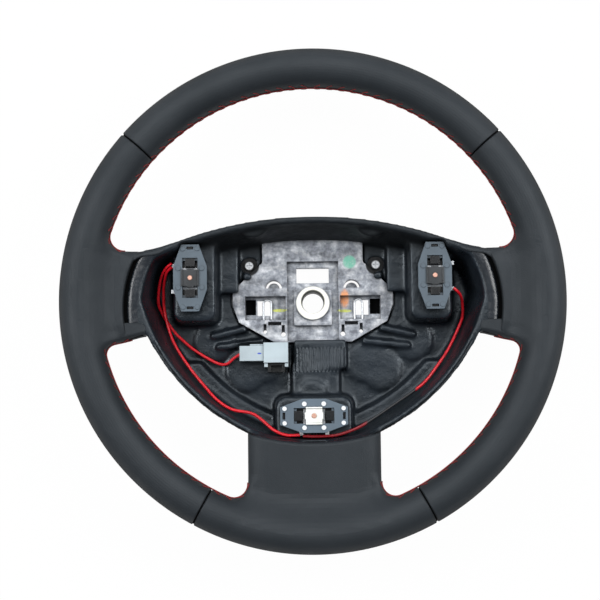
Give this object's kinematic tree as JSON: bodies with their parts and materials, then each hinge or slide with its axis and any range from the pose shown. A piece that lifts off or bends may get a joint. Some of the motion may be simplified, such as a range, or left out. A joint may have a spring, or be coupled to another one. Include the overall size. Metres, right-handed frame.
{
  "type": "car steering wheel",
  "caption": "Three-spoke leather car steering wheel without its airbag module: metal hub with column bore, open bowl, sprung horn contacts and red leads.",
  "frame": {"origin": "centre of the column bore at its rear mouth, on the steering axis", "axes": "+Z along the steering axis towards the driver, +Y towards twelve o'clock, +X to the driver's right"},
  "size_m": [0.37, 0.37, 0.0765],
  "materials": {
    "magnesium": "die-cast, matt",
    "polyurethane": "moulded skin, satin",
    "leather": "fine grain, satin",
    "thread": "twisted sewing thread",
    "steel": "zinc plated",
    "tinned": "tinned, bright",
    "grey_plastic": "fine matt",
    "black_plastic": "matt",
    "copper": "copper, bright",
    "connector": "pale nylon",
    "lead_cover": "smooth"
  },
  "bodies": {
    "root": {"armature": "magnesium", "foam_body": "polyurethane", "foam_core_top": "polyurethane", "foam_core_left": "polyurethane", "foam_core_right": "polyurethane", "foam_core_bottom": "polyurethane", "leather_top": "leather", "leather_left": "leather", "leather_right": "leather", "leather_bottom": "leather", "stitching": "thread", "hub_screws": "steel", "retaining_springs": "tinned", "carrier_left": "black_plastic", "carrier_right": "black_plastic", "carrier_bottom": "black_plastic", "contact_strip_left": "tinned", "contact_strip_right": "tinned", "contact_strip_bottom": "tinned", "connector_plug": "connector", "connector_socket": "connector", "connector_clip": "black_plastic", "lead_to_connector": "lead_cover", "lead_left_to_bottom": "lead_cover", "lead_bottom_to_right": "lead_cover", "contact_springs_left": "steel", "contact_springs_right": "steel", "contact_springs_bottom": "steel"},
    "contact_left": {"contact_plate_left": "grey_plastic", "contact_bridge_left": "tinned", "contact_rivet_left": "copper"},
    "contact_right": {"contact_plate_right": "grey_plastic", "contact_bridge_right": "tinned", "contact_rivet_right": "copper"},
    "contact_bottom": {"contact_plate_bottom": "grey_plastic", "contact_bridge_bottom": "tinned", "contact_rivet_bottom": "copper"}
  },
  "joints": [
    {"name": "horn_press_left", "type": "slide", "parent": "root", "child": "contact_left", "axis": [0, 0, 1], "range_m": [-0.0015, 0], "stiffness_N_per_m": 4000, "springref_m": 0.001, "deforming": ["contact_springs_left"]},
    {"name": "horn_press_right", "type": "slide", "parent": "root", "child": "contact_right", "axis": [0, 0, 1], "range_m": [-0.0015, 0], "stiffness_N_per_m": 4000, "springref_m": 0.001, "deforming": ["contact_springs_right"]},
    {"name": "horn_press_bottom", "type": "slide", "parent": "root", "child": "contact_bottom", "axis": [0, 0, 1], "range_m": [-0.0015, 0], "stiffness_N_per_m": 4000, "springref_m": 0.001, "deforming": ["contact_springs_bottom"]}
  ]
}
